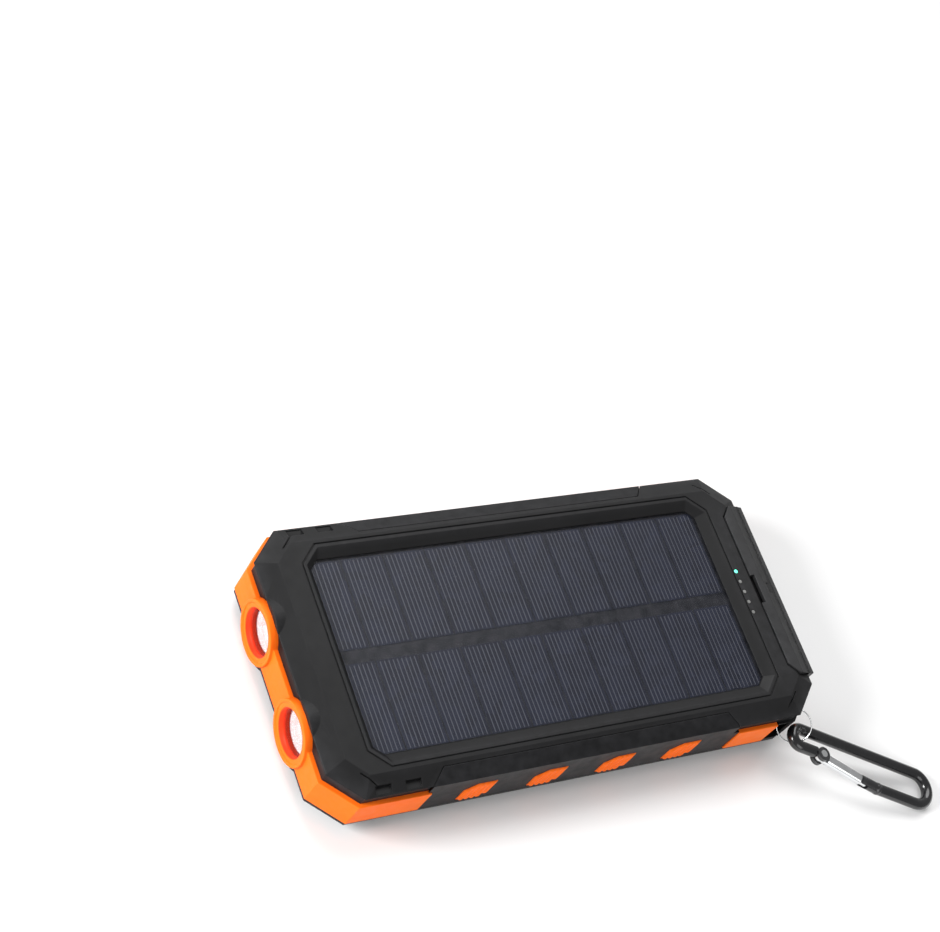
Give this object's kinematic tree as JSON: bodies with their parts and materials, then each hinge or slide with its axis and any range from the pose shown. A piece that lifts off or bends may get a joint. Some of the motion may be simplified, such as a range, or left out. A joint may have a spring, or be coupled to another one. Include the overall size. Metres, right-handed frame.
{
  "type": "solar phone charger",
  "caption": "Flat rugged solar power bank with torch end, hinged socket door, back compass and a carabiner on a ring.",
  "frame": {"origin": "middle of the back face, on the centre grip pad", "axes": "+X towards the socket door, +Y to the left seen with the torch end nearest, +Z out of the solar window"},
  "size_m": [0.1861, 0.1014, 0.021],
  "materials": {
    "black_plastic": "fine spark texture",
    "frame_plastic": "fine spark texture",
    "door_plastic": "satin",
    "orange_rubber": "satin, soft elastomer",
    "grip_rubber": "ribbed weave texture",
    "silicon": "dark cells with silver fingers",
    "clear_sheet": "clear",
    "gloss_black": "gloss",
    "compass_black": "printed card",
    "bright_metal": "polished",
    "reflector": "vacuum metallised",
    "steel": "plated",
    "black_anodised": "gloss",
    "white_plastic": "plain",
    "board_green": "solder mask",
    "panel_black": "dark laminate",
    "foil": "laminate pouch",
    "foam": "closed cell foam",
    "led_white": "moulded",
    "lit_green": "lit"
  },
  "bodies": {
    "case": {"front_cover": "black_plastic", "side_frame": "frame_plastic", "back_cover": "black_plastic", "end_bumper": "orange_rubber", "corner_bumper_left": "orange_rubber", "corner_bumper_right": "orange_rubber", "chamfer_bumper_right": "orange_rubber", "side_grip_left": "orange_rubber", "side_grip_right": "orange_rubber", "solar_backing": "panel_black", "solar_cells": "silicon", "solar_cover_sheet": "clear_sheet", "grip_pad_centre": "grip_rubber", "grip_pad_left": "grip_rubber", "grip_pad_right": "grip_rubber", "compass_cup": "gloss_black", "compass_needle": "bright_metal", "compass_dome": "clear_sheet", "torch_reflector_left": "reflector", "torch_reflector_right": "reflector", "torch_lens_left": "clear_sheet", "torch_lens_right": "clear_sheet", "torch_led_left": "led_white", "torch_led_right": "led_white", "torch_board": "board_green", "battery_cell": "foil", "battery_foam": "foam", "main_board": "board_green", "board_screws": "steel", "usb_shell_left": "steel", "usb_shell_right": "steel", "usb_tongue_left": "white_plastic", "usb_tongue_right": "white_plastic", "micro_usb_shell": "steel", "micro_usb_tongue": "gloss_black", "indicator_leds": "led_white", "light_pipe_lit": "lit_green", "light_pipes": "led_white", "tact_switch": "white_plastic", "door_hinge_pin": "steel"},
    "door": {"usb_door": "door_plastic"},
    "button": {"power_button": "frame_plastic"},
    "compass": {"compass_card": "compass_black", "compass_hub": "bright_metal"},
    "ring": {"split_ring": "bright_metal"},
    "carabiner": {"carabiner_body": "black_anodised", "gate_rivet": "bright_metal"},
    "gate": {"carabiner_gate": "bright_metal"}
  },
  "joints": [
    {"name": "door_hinge", "type": "hinge", "parent": "case", "child": "door", "pos_m": [0.0705, 0, 0.0025], "axis": [0, 1, 0], "range_deg": [0, 90]},
    {"name": "button_press", "type": "slide", "parent": "case", "child": "button", "axis": [0, -1, 0], "range_m": [0, 0.0004], "stiffness_N_per_m": 800},
    {"name": "compass_spin", "type": "hinge", "parent": "case", "child": "compass", "pos_m": [0.0574, 0, 0.0027], "axis": [0, 0, 1], "continuous": true},
    {"name": "ring_swing", "type": "hinge", "parent": "case", "child": "ring", "pos_m": [0.06552, -0.03262, 0.00922], "axis": [0.4731, 0.4731, 0.7431], "range_deg": [-12, 12]},
    {"name": "carabiner_swing", "type": "hinge", "parent": "ring", "child": "carabiner", "pos_m": [0.07058, -0.04022, 0.00844], "axis": [0.6871, 0.152, 0.7105], "range_deg": [-8, 8]},
    {"name": "gate_hinge", "type": "hinge", "parent": "carabiner", "child": "gate", "pos_m": [0.07432, -0.04535, 0.00749], "axis": [0.1549, -0.0706, 0.9854], "range_deg": [0, 18], "stiffness_Nm_per_rad": 0.004}
  ]
}
